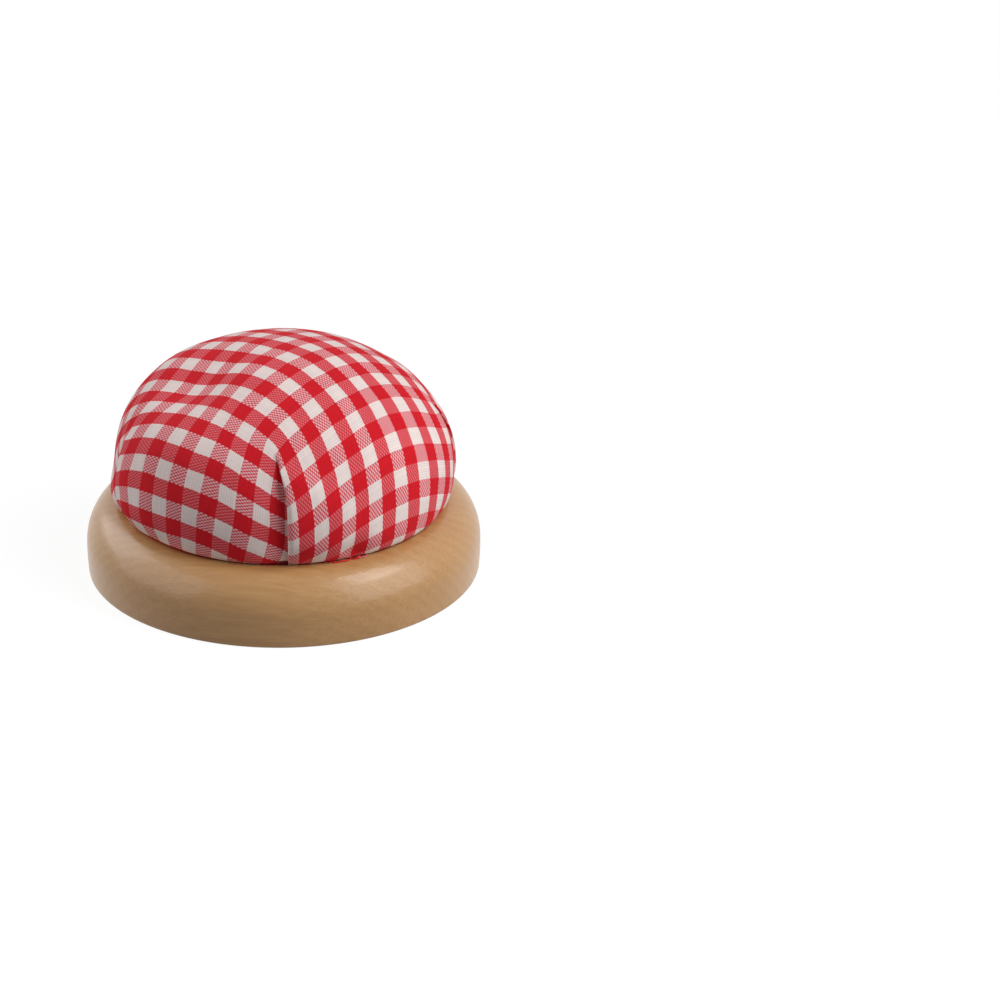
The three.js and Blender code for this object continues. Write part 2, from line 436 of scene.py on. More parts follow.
def leg_angles(tuck, reach):
    """Where a tuck's fold, its under crease and its far leg cross circles on the cloth."""
    point = TUCKS[tuck][-1]
    reach = np.maximum(reach, abs(point))
    angles = []
    for turn in (0, DART_ANGLE / 2, DART_ANGLE):
        way = np.exp(1j * turn)
        along = (np.conj(point) * way).real
        length = np.sqrt(along**2 + reach**2 - abs(point) ** 2) - along
        angles.append(np.angle(point + way * length))
    return angles


def first_drape(cloth):
    """The flat cloth laid over the crown by distance from its middle, with the tucks folded in."""
    reach = np.abs(cloth)
    azimuth = np.radians(CLOTH_TURN) - np.angle(cloth)
    for tuck in range(len(TUCKS)):
        after = (tuck + 1) % len(TUCKS)
        fold, crease, leg = leg_angles(tuck, reach)
        start = leg_angles(after, reach)[-1] - np.pi / 2
        squeeze = np.radians((TUCKS[after][0] - TUCKS[tuck][0]) % 360) / (fold - start)
        angle = np.angle(cloth * 1j**tuck)
        lowest = (leg - angle) * (crease - fold) / np.maximum(leg - crease, CLOSE)
        spans = (
            ((angle >= start) & (angle <= fold), fold - angle),
            ((angle > fold) & (angle <= crease), angle - fold),
            ((angle > crease) & (angle <= leg), lowest),
        )
        past_point = reach > abs(TUCKS[tuck][-1])
        for inside, turn in spans:
            squeezed = np.radians(TUCKS[tuck][0]) + turn * squeeze
            azimuth = np.where(inside & past_point, squeezed, azimuth)
    distance, radius, height = CROWN_PROFILE
    return placed(azimuth, np.interp(reach, distance, radius), np.interp(reach, distance, height))


def folded_lengths(cloth, layers, start, end):
    """Lengths between cloth points, measured with the tucks' under layers folded back."""
    lengths = np.abs(cloth[start] - cloth[end])
    for tuck in range(len(TUCKS)):
        under, lowest = 1 + 2 * tuck, 2 + 2 * tuck
        falls = (layers[start] == under) & (layers[end] == lowest)
        rises = (layers[start] == lowest) & (layers[end] == under)
        mirrored = np.conj(from_dart(cloth[end], tuck)) * np.exp(1j * DART_ANGLE)
        folded = np.abs(from_dart(cloth[start], tuck) - mirrored)
        lengths = np.where(falls | rises, folded, lengths)
    return lengths


def thread_links(cloth):
    """Pairs of neighbouring points, in sets that share none, with their length and stiffness."""
    layers = tuck_layers(cloth)
    used = np.abs(cloth) <= NET_REACH + CLOSE
    size = len(cloth)
    every = slice(None)
    pairs = []
    for first in (0, 1):
        low, high = slice(first, size - 1, 2), slice(first + 1, size, 2)
        pairs.append(((low, every), (high, every), 1))
        pairs.append(((every, low), (every, high), 1))
    for first in (0, 1):
        low, high = slice(first, size - 1, 2), slice(first + 1, size, 2)
        left, right = slice(0, size - 1), slice(1, size)
        pairs.append(((low, left), (high, right), SHEAR_STIFFNESS))
        pairs.append(((low, right), (high, left), SHEAR_STIFFNESS))
    links = []
    for start, end, stiffness in pairs:
        lengths = folded_lengths(cloth, layers, start, end)
        links.append((start, end, lengths, stiffness / 2 * (used[start] & used[end])))
    return links


def anchor_pulls(cloth, spacing):
    """For each anchor: the grid point next to it, its place in that cell, its reach and its aim."""
    open_cloth = tuck_layers(cloth) == 0
    _, radius, height = CROWN_PROFILE
    pulls = []
    for (column, row), (azimuth, aim_height) in ANCHORS.items():
        spot = FIRST_RED + CHECK_REPEAT * (column + 1j * row)
        cell = (spot - cloth[0, 0]) / spacing
        corner = (int(cell.real), int(cell.imag))
        reach = np.exp(-(np.abs(cloth - spot) ** 2) / (2 * ANCHOR_WIDTH**2)) * open_cloth
        aim_radius = np.interp(-aim_height, -height, radius)
        aim = placed(np.radians(azimuth), aim_radius, aim_height)
        pulls.append((corner, (cell.real % 1, cell.imag % 1), reach, aim))
    return pulls


def pull(points, anchor):
    (row, column), (across, along), reach, aim = anchor
    near = points[row : row + 2, column : column + 2]
    weights = np.outer((1 - across, across), (1 - along, along))
    gap = aim - (near * weights[..., None]).sum((0, 1))
    points += ANCHOR_STRENGTH * reach[..., None] * gap


def relax(cloth, points, spacing, sweeps):
    """Draws the threads back to their length over the crown, with the folds held on the tucks."""
    links = thread_links(cloth)
    anchors = anchor_pulls(cloth, spacing)
    seen = [from_dart(cloth, tuck) for tuck in range(len(TUCKS))]
    folds = [(np.abs(spot.imag) < CLOSE) & (spot.real > -CLOSE) for spot in seen]
    free = (tuck_layers(cloth) == 0) & (np.abs(cloth) <= NET_REACH)
    free = free[1:-1, 1:-1] & free[2:, 1:-1] & free[:-2, 1:-1] & free[1:-1, 2:] & free[1:-1, :-2]
    evened = EVENING * free[..., None]
    for _ in range(sweeps):
        for start, end, lengths, stiffness in links:
            gap = points[end] - points[start]
            size = np.sqrt((gap * gap).sum(-1)) + NOT_ZERO
            hold = np.where(size < lengths, SLACK_STIFFNESS, 1) * stiffness
            move = (hold * (size - lengths) / size)[..., None] * gap
            points[start] += move
            points[end] -= move
        around = points[2:, 1:-1] + points[:-2, 1:-1] + points[1:-1, 2:] + points[1:-1, :-2]
        points[1:-1, 1:-1] += evened * (around / 4 - points[1:-1, 1:-1])
        for anchor in anchors:
            pull(points, anchor)
        settle(points)
        for tuck, fold in enumerate(folds):
            held = points[fold]
            radius = np.hypot(held[:, 0], held[:, 1])
            aim = placed(tuck_azimuth(held[:, 2], tuck), radius, held[:, 2])
            points[fold] += FOLD_HOLD * (aim - held)
    return points


def refined(points):
    """A grid of points with one more between each two."""
    size = 2 * len(points) - 1
    fine = np.zeros((size, size, 3))
    fine[::2, ::2] = points
    fine[1::2, ::2] = (points[1:] + points[:-1]) / 2
    fine[:, 1::2] = (fine[:, 2::2] + fine[:, :-1:2]) / 2
    return fine


def draped_cloth():
    """The cover's cloth settled over the filling: flat places on the cloth, and points in space."""
    coarse = cloth_grid(COARSE_SPACING)
    points = relax(coarse, first_drape(coarse), COARSE_SPACING, COARSE_SWEEPS)
    fine = cloth_grid(FINE_SPACING)
    return fine, relax(fine, refined(points), FINE_SPACING, FINE_SWEEPS)


def azimuth_of(points):
    return np.arctan2(points[..., 0], -points[..., 1])


def turn_between(first, second):
    return (first - second + np.pi) % (2 * np.pi) - np.pi


def tuck_relief(cloth, points):
    """How far the cloth stands off the crown where it lies in layers, and beside the flaps."""
    height = points[..., 2]
    radius = np.hypot(points[..., 0], points[..., 1])
    raised = smooth(seat_height, seat_height + RIM_FADE, height)
    pressed = 1 - raised
    point_height = widest_height + TUCK_HEIGHT
    fading = raised * (1 - smooth(point_height - TUCK_RUN_IN, point_height, height))
    relief = np.zeros(cloth.shape)
    for tuck in range(len(TUCKS)):
        fullness = TUCKS[tuck][3]
        seen = from_dart(cloth, tuck)
        turn = np.angle(seen)
        parted = smooth(0, TUCK_RUN_IN / fullness, np.abs(seen))
        beside = radius * turn_between(azimuth_of(points), tuck_azimuth(height, tuck))
        near = np.abs(beside) < crown_radius * np.pi / len(TUCKS)
        puff = TUCK_PUFF * fullness * fading * np.exp(-((beside / TUCK_PUFF_WIDTH) ** 2))
        hollow = TUCK_HOLLOW * fullness**2 * fading * np.exp(-((beside / TUCK_HOLLOW_WIDTH) ** 2))
        turned_under = np.clip(np.minimum(turn, DART_ANGLE - turn), 0, None)
        sunk = TUCK_SINK * smooth(0, TUCK_SINK_RUN_IN, np.abs(seen) * np.sin(turned_under))
        over_layers = 1 - smooth(*FLAP_STEP, -turn / (DART_ANGLE / 2))
        flap = puff + 2 * TUCK_LAYER * raised * parted * over_layers
        under = TUCK_LAYER * parted * (UNDER_SHARE * raised - pressed) - hollow - sunk
        flattened = 2 * TUCK_LAYER * parted * pressed
        lowest = -flattened - hollow - sunk
        aside = -flattened * np.exp(-((beside / TUCK_ASIDE_WIDTH) ** 2)) - hollow
        fold = (flap + under) / 2
        on_fold = (np.abs(seen.imag) < CLOSE) & (seen.real > -CLOSE)
        spans = (
            ((turn > -np.pi / 2) & (turn < CLOSE_TURN) & near & ~on_fold, flap),
            (on_fold, fold),
            ((turn >= CLOSE_TURN) & (turn < DART_ANGLE / 2) & ~on_fold, under),
            ((turn >= DART_ANGLE / 2) & (turn <= DART_ANGLE), lowest),
            ((turn > DART_ANGLE) & near, aside),
        )
        for inside, lift in spans:
            relief = np.where(inside, relief + lift, relief)
    return relief


def filling_relief(points):
    """Dents, puckers and the lumps of the filling."""
    height = points[..., 2]
    azimuth = azimuth_of(points)
    distance, radius, profile_height = CROWN_PROFILE
    along_side = np.interp(-height, -profile_height, distance)
    relief = np.zeros(height.shape)
    for dent_azimuth, dent_height, length, above, below, depth, tilt in DENTS:
        dent_radius = np.interp(-dent_height, -profile_height, radius)
        across = dent_radius * turn_between(azimuth, np.radians(dent_azimuth))
        up = np.interp(-dent_height, -profile_height, distance) - along_side
        lean = np.radians(tilt)
        lengthwise = across * np.cos(lean) + up * np.sin(lean)
        sidewise = up * np.cos(lean) - across * np.sin(lean)
        width = np.where(sidewise > 0, above, below)
        relief -= depth * np.exp(-((lengthwise / length) ** 2) - (sidewise / width) ** 2)
    above_rim = height - seat_height
    for pucker_azimuth, depth, width, reach in PUCKERS:
        across = crown_radius * turn_between(azimuth, np.radians(pucker_azimuth))
        rise = np.exp(-((above_rim / reach) ** 2)) * smooth(0, PUCKER_START, above_rim)
        relief -= depth * rise * np.exp(-((across / width) ** 2))
    lumps = [noise.noise(Vector(point) / LUMP_SIZE) for point in points.reshape(-1, 3)]
    lumps = np.reshape(lumps, height.shape) * smooth(seat_height, seat_height + RIM_FADE, height)
    return relief + LUMP_HEIGHT * lumps


def tucked_in(points, relief):
    """Points moved off the crown by the relief, and those below the rim led into the recess."""
    shaped = points + crown_normals(points) * relief[..., None]
    below = np.maximum(seat_height - points[..., 2], 0)
    bend = np.minimum(below / neck_radius, np.pi / 2)
    swing = neck_radius - relief
    radius = crest_radius - swing * np.sin(bend)
    height = lip_centre + swing * np.cos(bend) - np.maximum(below - neck_radius * np.pi / 2, 0)
    led = placed(azimuth_of(points), radius, height)
    return np.where((below > 0)[..., None], led, shaped)


def gathered_underside():
    """The hidden part of the cover, drawn up by the thread: points, faces and places on the cloth."""
    wall = corner_radius + CORNER_BEVEL
    corner = (corner_radius, underside + CORNER_BEVEL)
    hem = knot_radius + CLEARANCE
    flat = np.linspace(corner_radius, hem_radius, UNDERSIDE_ROWS)
    turned_in = hem_radius + HEM_LENGTH * np.array([0.6, 1])
    profile = np.concatenate(
        [
            [(wall, lip_centre), (wall, corner[1])],
            arc(corner, CORNER_BEVEL, CORNER_BEVEL, 0, -90, FILLET_STEPS)[1:],
            np.stack([flat, np.full(UNDERSIDE_ROWS, underside)], -1)[1:],
            arc((hem_radius, thread_height), hem, hem, 90, 270, HEM_STEPS)[1:],
            np.stack([turned_in, np.full(2, thread_height - hem)], -1),
        ]
    )
    points, faces = turned(profile, UNDERSIDE_COLUMNS)
    azimuth = azimuth_of(points)
    radius = np.hypot(points[:, 0], points[:, 1])
    gather = GATHER_HEIGHT * (1 - smooth(hem_radius + GATHER_REACH, corner_radius, radius))
    points[:, 2] += gather * np.sin(GATHERS * azimuth + GATHER_SWAY * np.sin(GATHER_SWAYS * azimuth))
    steps = np.hypot(*np.diff(profile, axis=0).T)
    distance, _, height = CROWN_PROFILE
    at_recess = np.interp(-seat_height, -height, distance) + neck_radius * np.pi / 2
    reach = at_recess + np.concatenate([[0], np.cumsum(steps)])
    turn = np.radians(CLOTH_TURN) - azimuth
    cloth = np.repeat(reach, UNDERSIDE_COLUMNS) * np.exp(1j * turn)
    return points, faces[:, ::-1], cloth


def cushion_cover():
    cloth, points = draped_cloth()
    relief = tuck_relief(cloth, points) + filling_relief(points)
    shaped = tucked_in(points, relief)
    kept = (np.abs(cloth) <= NET_REACH) & (points[..., 2] > seat_height - COVER_DROP)
    size = len(cloth)
    index = np.arange(size * size).reshape(size, size)
    whole = kept[:-1, :-1] & kept[1:, :-1] & kept[1:, 1:] & kept[:-1, 1:]
    corners = (index[:-1, :-1], index[:-1, 1:], index[1:, 1:], index[1:, :-1])
    faces = np.stack([corner[whole] for corner in corners], -1)
    used, faces = np.unique(faces, return_inverse=True)
    faces = faces.reshape(-1, 4)
    points = shaped.reshape(-1, 3)[used]
    cloth = cloth.ravel()[used]
    cover = mesh_piece("gingham_cover", points, faces)
    lay_cloth(cover, cloth)
    trim_below(cover, underside + CORNER_BEVEL + TRIM_LAP)
    points, faces, cloth = gathered_underside()
    under = mesh_piece("gathered_underside", points, faces)
    lay_cloth(under, cloth)
    join(cover, under)
    subdivide(cover)
    thicken(cover, CLOTH_THICKNESS)
    return cover


def lay_cloth(piece, cloth):
    """Keeps each point's place on the flat cloth as a UV map."""
    layer = piece.data.uv_layers.new(name=CLOTH_MAP)
    vertices = np.zeros(len(piece.data.loops), int)
    piece.data.loops.foreach_get("vertex_index", vertices)
    spots = cloth[vertices] / (2 * CUT_RADIUS) + 0.5 + 0.5j
    layer.data.foreach_set("uv", np.stack([spots.real, spots.imag], -1).ravel())


def trim_below(piece, height):
    body = bmesh.new()
    body.from_mesh(piece.data)
    parts = body.verts[:] + body.edges[:] + body.faces[:]
    bmesh.ops.bisect_plane(
        body, geom=parts, plane_co=(0, 0, height * MM), plane_no=(0, 0, -1), clear_outer=True
    )
    body.to_mesh(piece.data)
    body.free()


def join(piece, other):
    body = bmesh.new()
    body.from_mesh(piece.data)
    body.from_mesh(other.data)
    body.to_mesh(piece.data)
    body.free()
    bpy.data.objects.remove(other)


def subdivide(piece):
    modifier = piece.modifiers.new("smooth", "SUBSURF")
    modifier.levels = 1
    modifier.render_levels = 1
    modifier.uv_smooth = "NONE"


def thicken(piece, thickness):
    modifier = piece.modifiers.new("thickness", "SOLIDIFY")
    modifier.thickness = thickness * MM
    modifier.offset = -1


def wood_base():
    rim_rise = base_height - WALL_HEIGHT
    fillet = (recess_radius - RECESS_FILLET, recess_floor + RECESS_FILLET)
    foot = wall_radius - FOOT_TAPER - FOOT_EASE
    taper_end = (wall_radius - 0.3 * FOOT_TAPER, 0.7 * FOOT_HEIGHT)
    wall_start = (wall_radius, 1.1 * FOOT_HEIGHT)
    profile = np.concatenate(
        [
            [(0, 0), (foot / 2, 0), (foot - FOOT_EASE, 0)],
            arc((foot, FOOT_EASE), FOOT_EASE, FOOT_EASE, -90, 0, EASE_STEPS),
            [taper_end, wall_start],
            arc((crest_radius, WALL_HEIGHT), RIM_WIDTH, rim_rise, 0, 90, RIM_STEPS),
            arc((crest_radius, lip_centre), LIP_RADIUS, LIP_RADIUS, 90, 180, LIP_STEPS)[1:],
            arc(fillet, RECESS_FILLET, RECESS_FILLET, 0, -90, FILLET_STEPS),
            [(recess_radius / 2, recess_floor), (0, recess_floor)],
        ]
    )
    points, faces = turned(profile, BASE_COLUMNS)
    base = mesh_piece("turned_base", points, faces)
    weld(base, WELD_DISTANCE)
    return base


def stuffing():
    """The filling: a lumpy dome just inside the cover, flat where it sits on the disc."""
    distance, radius, height = CROWN_PROFILE
    reach = np.linspace(0, distance[-2], FILLING_ROWS)
    side = np.stack([np.interp(reach, distance, radius), np.interp(reach, distance, height)], -1)
    normals = crown_normals(np.stack([side[:, 0], 0 * side[:, 0], side[:, 1]], -1))
    side = side - FILLING_INSET * normals[:, ::2]
    side[0, 0] = 0
    neck_side = recess_radius - FILLING_INSET
    seat = disc_top + CLEARANCE
    neck = [(neck_side, lip_centre), (neck_side, disc_top + CORNER_BEVEL)]
    flat = [(corner_radius, seat), (0, seat)]
    profile = np.concatenate([side[side[:, 1] > lip_centre], neck, flat])
    points, faces = turned(profile[::-1], FILLING_COLUMNS)
    spots = [Vector(point) / FILLING_LUMP_SIZE for point in points]
    lumps = np.array([noise.fractal(spot, *FILLING_LUMP_DETAIL) for spot in spots])
    lumpy = points[:, 2] >= disc_top + FILLING_FLAT
    points = points * (1 + FILLING_LUMP_SHARE * lumps * lumpy)[:, None]
    dented = filling_relief(points) * (points[:, 2] > seat_height)
    points = points + crown_normals(points) * dented[:, None]
    filling = mesh_piece("fibre_filling", points, faces)
    weld(filling, WELD_DISTANCE)
    return filling


def tube(path, radius):
    """Points and faces of a closed tube round a looped path."""
    ahead = np.roll(path, -1, 0) - np.roll(path, 1, 0)
    ahead /= np.linalg.norm(ahead, axis=1, keepdims=True)
    level = np.cross(ahead, (0, 0, 1))
    level /= np.linalg.norm(level, axis=1, keepdims=True)
    upright = np.cross(level, ahead)
    turn = np.linspace(0, 2 * np.pi, TUBE_SIDES, endpoint=False)
    ring = np.cos(turn)[:, None, None] * level + np.sin(turn)[:, None, None] * upright
    points = path + radius * ring
    faces = grid_faces(TUBE_SIDES + 1, len(path)) % (TUBE_SIDES * len(path))
    return points.reshape(-1, 3), faces


def tubes_piece(name, tubes):
    """One piece of several tubes, each given as its points and faces."""
    starts = np.cumsum([0] + [len(points) for points, _ in tubes])
    faces = [quads + start for (_, quads), start in zip(tubes, starts)]
    return mesh_piece(name, np.concatenate([points for points, _ in tubes]), np.concatenate(faces))


def gathering_thread():
    """A two-ply thread drawn up in a loop, with a knot of three small turns."""
    ply = THREAD_DIAMETER / 4
    loop = np.linspace(0, 2 * np.pi, THREAD_STEPS, endpoint=False)
    tubes = []
    for phase in (0, np.pi):
        twist = THREAD_TWISTS * loop + phase
        radius = hem_radius + ply * np.cos(twist)
        tubes.append(tube(placed(loop, radius, thread_height + ply * np.sin(twist)), ply))
    ring = np.linspace(0, 2 * np.pi, KNOT_STEPS, endpoint=False)
    across, along = KNOT_TURN_RADIUS * np.cos(ring), KNOT_TURN_RADIUS * np.sin(ring)
    knot = (0, hem_radius + THREAD_DIAMETER / 2, thread_height)
    for tilt in KNOT_TILTS:
        path = np.stack([across, along * np.cos(tilt), along * np.sin(tilt)], -1) + knot
        tubes.append(tube(path, KNOT_STRAND_RADIUS))
    thread = tubes_piece("twisted_thread", tubes)
    weld(thread, WELD_DISTANCE / 10)
    return thread


def frayed_yarns():
    """Loops of yarn that have worked loose where the cover meets the rim."""
    turn = np.linspace(0, 2 * np.pi, YARN_STEPS, endpoint=False)
    lift = YARN_RADIUS * (1 + YARN_WAVE_HEIGHT * np.sin(YARN_WAVES * turn) ** 2)
    tubes = []
    for azimuth, half_length, reach, _ in FRAYED_YARNS:
        radius = crest_radius + reach * np.sin(turn)
        along = np.radians(azimuth) + half_length * np.cos(turn) / crest_radius
        tubes.append(tube(placed(along, radius, rim_height(radius) + lift), YARN_RADIUS))
    yarns = tubes_piece("frayed_yarns", tubes)
    lay_cloth(yarns, np.repeat([yarn[-1] for yarn in FRAYED_YARNS], YARN_STEPS * TUBE_SIDES))
    return yarns


def feed(tree, socket, value):
    if isinstance(value, bpy.types.NodeSocket):
        tree.links.new(value, socket)
    else:
        socket.default_value = value


def node(tree, kind, inputs=None, **settings):
    made = tree.nodes.new("ShaderNode" + kind)
    for name, value in settings.items():
        setattr(made, name, value)
    for name, value in (inputs or {}).items():
        feed(tree, made.inputs[name], value)
    return made


def maths(tree, operation, *values):
    made = tree.nodes.new("ShaderNodeMath")
    made.operation = operation
    for socket, value in zip(made.inputs, values):
        feed(tree, socket, value)
    return made.outputs[0]


def mixed(tree, factor, first, second, blend="MIX"):
    made = node(tree, "Mix", data_type="RGBA", blend_type=blend)
    feed(tree, made.inputs[0], factor)
    feed(tree, made.inputs[6], first)
    feed(tree, made.inputs[7], second)
    return made.outputs[2]


def ramp(tree, value, low, high, to_low=0.0, to_high=1.0):
    names = ("Value", "From Min", "From Max", "To Min", "To Max")
    made = node(tree, "MapRange", dict(zip(names, (value, low, high, to_low, to_high))))
    return made.outputs["Result"]


def noisy(tree, place, scale, detail, roughness=0.5):
    inputs = {"Vector": place, "Scale": scale, "Detail": detail, "Roughness": roughness}
    return node(tree, "TexNoise", inputs).outputs["Fac"]


def stretched(tree, place, stretch, turn=(0, 0, 0)):
    inputs = {"Vector": place, "Scale": stretch, "Rotation": turn}
    return node(tree, "Mapping", inputs).outputs["Vector"]


def object_place(tree):
    """Places on a piece in millimetres."""
    place = node(tree, "TexCoord").outputs["Object"]
    return stretched(tree, place, (1 / MM,) * 3)


def new_material(name, finish):
    material = bpy.data.materials.new(name)
    material.use_nodes = True
    tree = material.node_tree
    surface = tree.nodes["Principled BSDF"]
    for socket, value in finish.items():
        surface.inputs[socket].default_value = value
    return material, tree, surface


def bump(tree, surface, height, distance, strength):
    """Relief on a surface and its clear coat, with the distance in millimetres."""
    inputs = {"Height": height, "Distance": distance * MM, "Strength": strength}
    normal = node(tree, "Bump", inputs).outputs["Normal"]
    tree.links.new(normal, surface.inputs["Normal"])
    tree.links.new(normal, surface.inputs["Coat Normal"])


def wear(piece, material):
    piece.data.materials.clear()
    piece.data.materials.append(material)


def yarn_counts(tree, along, first, yarns):
    """Place counted in yarns, the yarn's number, and whether its band is red."""
    pitch = CHECK_REPEAT / 2 / yarns
    start = first - CHECK_REPEAT / 4
    place = maths(tree, "MULTIPLY_ADD", along, 1 / pitch, -start / pitch)
    number = maths(tree, "FLOOR", place)
    in_repeat = maths(tree, "FLOORED_MODULO", number, 2 * yarns)
    return place, number, maths(tree, "LESS_THAN", in_repeat, yarns - 0.5)


def half_turns(tree, count):
    return maths(tree, "COSINE", maths(tree, "MULTIPLY", count, math.pi))


def plain_weave(tree, a_place, b_place):
    """From -1 in the middle of a float of the A yarns to 1 in one of the B yarns."""
    slanted = half_turns(tree, maths(tree, "ADD", a_place, b_place))
    crossed = half_turns(tree, maths(tree, "SUBTRACT", a_place, b_place))
    crossed = maths(tree, "MULTIPLY", crossed, FLOAT_SLANT - 1)
    return maths(tree, "MULTIPLY_ADD", slanted, FLOAT_SLANT, crossed)


def cloth_place(tree):
    """Place along p and q in millimetres, where the threads stray a little."""
    place = node(tree, "UVMap", uv_map=CLOTH_MAP).outputs["UV"]
    wobble = noisy(tree, place, 2 * CUT_RADIUS / WOBBLE_LENGTH, 2.0)
    wobble = ramp(tree, wobble, 0.3, 0.7, -WOBBLE, WOBBLE)
    spot = node(tree, "SeparateXYZ", {"Vector": place})
    along_p = maths(tree, "MULTIPLY_ADD", spot.outputs["X"], 2 * CUT_RADIUS, -CUT_RADIUS)
    along_q = maths(tree, "MULTIPLY_ADD", spot.outputs["Y"], 2 * CUT_RADIUS, -CUT_RADIUS)
    return maths(tree, "ADD", along_p, wobble), maths(tree, "SUBTRACT", along_q, wobble)


def yarn_colour(tree, weave, a_red, b_red):
    b_over = ramp(tree, weave, -FLOAT_EDGE, FLOAT_EDGE, FLOAT_SHOW, 1 - FLOAT_SHOW)
    # White yarns take painted red bounce light and shade where they cross red yarns
    a_white_with_bounce = mixed(tree, b_red, WHITE_YARN, WHITE_A_PAINTED_RED_BOUNCE)
    b_white_with_bounce = mixed(tree, a_red, WHITE_YARN, WHITE_B_PAINTED_RED_BOUNCE)
    a_colour = mixed(tree, a_red, a_white_with_bounce, RED_YARN)
    b_colour = mixed(tree, b_red, b_white_with_bounce, RED_YARN)
    return mixed(tree, b_over, a_colour, b_colour)


def yarn_tone_and_shade(tree, a_number, b_number, rounded):
    """Each yarn's own tone, times painted shade where the yarns dip under each other."""
    a_tone = node(tree, "TexWhiteNoise", {"W": a_number}, noise_dimensions="1D").outputs["Value"]
    b_tone = node(tree, "TexWhiteNoise", {"W": b_number}, noise_dimensions="1D").outputs["Value"]
    tone = ramp(tree, maths(tree, "ADD", a_tone, b_tone), 0, 2, *YARN_TONES)
    return maths(tree, "MULTIPLY", tone, ramp(tree, rounded, 0, FLOAT_EDGE, *FLOAT_PAINTED_SHADE))


def gingham():
    finish = {"Roughness": 0.9, "Sheen Weight": 0.04, "Specular IOR Level": 0.12}
    material, tree, surface = new_material("gingham_cloth", finish)
    along_p, along_q = cloth_place(tree)
    a_place, a_number, a_red = yarn_counts(tree, along_q, FIRST_RED.imag, A_YARNS)
    b_place, b_number, b_red = yarn_counts(tree, along_p, FIRST_RED.real, B_YARNS)
    weave = plain_weave(tree, a_place, b_place)
    rounded = maths(tree, "ABSOLUTE", weave)
    colour = yarn_colour(tree, weave, a_red, b_red)
    # Each yarn's own tone times the painted shade at the floats' edges
    tone = yarn_tone_and_shade(tree, a_number, b_number, rounded)
    tree.links.new(mixed(tree, 1, colour, tone, "MULTIPLY"), surface.inputs["Base Color"])
    bump(tree, surface, rounded, 0.06, 0.6)
    return material


def lacquered_wood():
    finish = {"Coat Weight": 0.5, "Coat Roughness": 0.15, "Specular IOR Level": 0.3}
    material, tree, surface = new_material("lacquered_beech", finish)
    board = stretched(tree, object_place(tree), (1, 1, 1), (0, 0, math.radians(GRAIN_TURN)))
    bend = noisy(tree, stretched(tree, board, RING_BEND), 1.0, 2.0)
    split = node(tree, "SeparateXYZ", {"Vector": board})
    across = maths(tree, "MULTIPLY_ADD", split.outputs["Z"], RING_LEAN, split.outputs["Y"])
    rings = maths(tree, "MULTIPLY_ADD", bend, RING_BEND_REACH, across)
    rings = maths(tree, "SINE", maths(tree, "MULTIPLY", rings, RING_PITCH))
    fibres = noisy(tree, stretched(tree, board, FIBRES), 1.0, 4.0, 0.6)
    flecks = noisy(tree, stretched(tree, board, FLECKS), 1.0, 2.0)
    clouds = noisy(tree, stretched(tree, board, CLOUDS), 1.0, 2.0)
    grain = maths(tree, "MULTIPLY_ADD", ramp(tree, rings, -1, 1), 0.12, fibres)
    grain = maths(tree, "MULTIPLY_ADD", clouds, 0.5, grain)
    colour = mixed(tree, ramp(tree, grain, 0.45, 1.1), WOOD_DARK, WOOD_PALE)
    colour = mixed(tree, ramp(tree, flecks, 0.66, 0.74, 0, 0.35), colour, WOOD_PORE)
    tree.links.new(colour, surface.inputs["Base Color"])
    tree.links.new(ramp(tree, fibres, 0.3, 0.7, 0.36, 0.52), surface.inputs["Roughness"])
    height = maths(tree, "MULTIPLY_ADD", fibres, 0.6, maths(tree, "MULTIPLY", flecks, 0.5))
    bump(tree, surface, height, 0.1, 0.65)
    return material


def fibre_fill():
    material, tree, surface = new_material("polyester_fibre", {"Roughness": 0.95, "Sheen Weight": 0.4})
    place = object_place(tree)
    swirl = noisy(tree, place, 0.25, 3.0)
    hairs = noisy(tree, stretched(tree, place, (0.4, 2.5, 4.0), (0.5, 0.9, 0.3)), 1.0, 4.0, 0.7)
    strands = maths(tree, "MULTIPLY_ADD", swirl, 0.6, hairs)
    colour = mixed(tree, ramp(tree, strands, 0.5, 1.1), FIBRE_DARK, FIBRE_PALE)
    tree.links.new(colour, surface.inputs["Base Color"])
    bump(tree, surface, strands, 0.8, 0.8)
    return material


def grey_board():
    material, tree, surface = new_material("grey_card", {"Roughness": 0.95})
    place = object_place(tree)
    pulp = noisy(tree, place, 0.7, 4.0, 0.65)
    fibres = noisy(tree, stretched(tree, place, (0.5, 3.0, 3.0), (0, 0, 0.6)), 1.0, 3.0)
    blend = maths(tree, "MULTIPLY_ADD", fibres, 0.6, pulp)
    colour = mixed(tree, ramp(tree, blend, 0.55, 1.1), CARD_DARK, CARD_PALE)
    specks = ramp(tree, noisy(tree, place, 2.2, 1.0), 0.7, 0.75, 0, 0.6)
    colour = mixed(tree, specks, colour, CARD_SPECK)
    tree.links.new(colour, surface.inputs["Base Color"])
    bump(tree, surface, blend, 0.08, 0.5)
    return material


def cotton_thread():
    material, tree, surface = new_material("cotton_thread", {"Roughness": 0.85, "Sheen Weight": 0.3})
    place = object_place(tree)
    lint = noisy(tree, place, 6.0, 3.0, 0.7)
    colour = mixed(tree, ramp(tree, lint, 0.3, 0.7), COTTON_DARK, COTTON_PALE)
    tree.links.new(colour, surface.inputs["Base Color"])
    bump(tree, surface, lint, 0.05, 0.6)
    return material


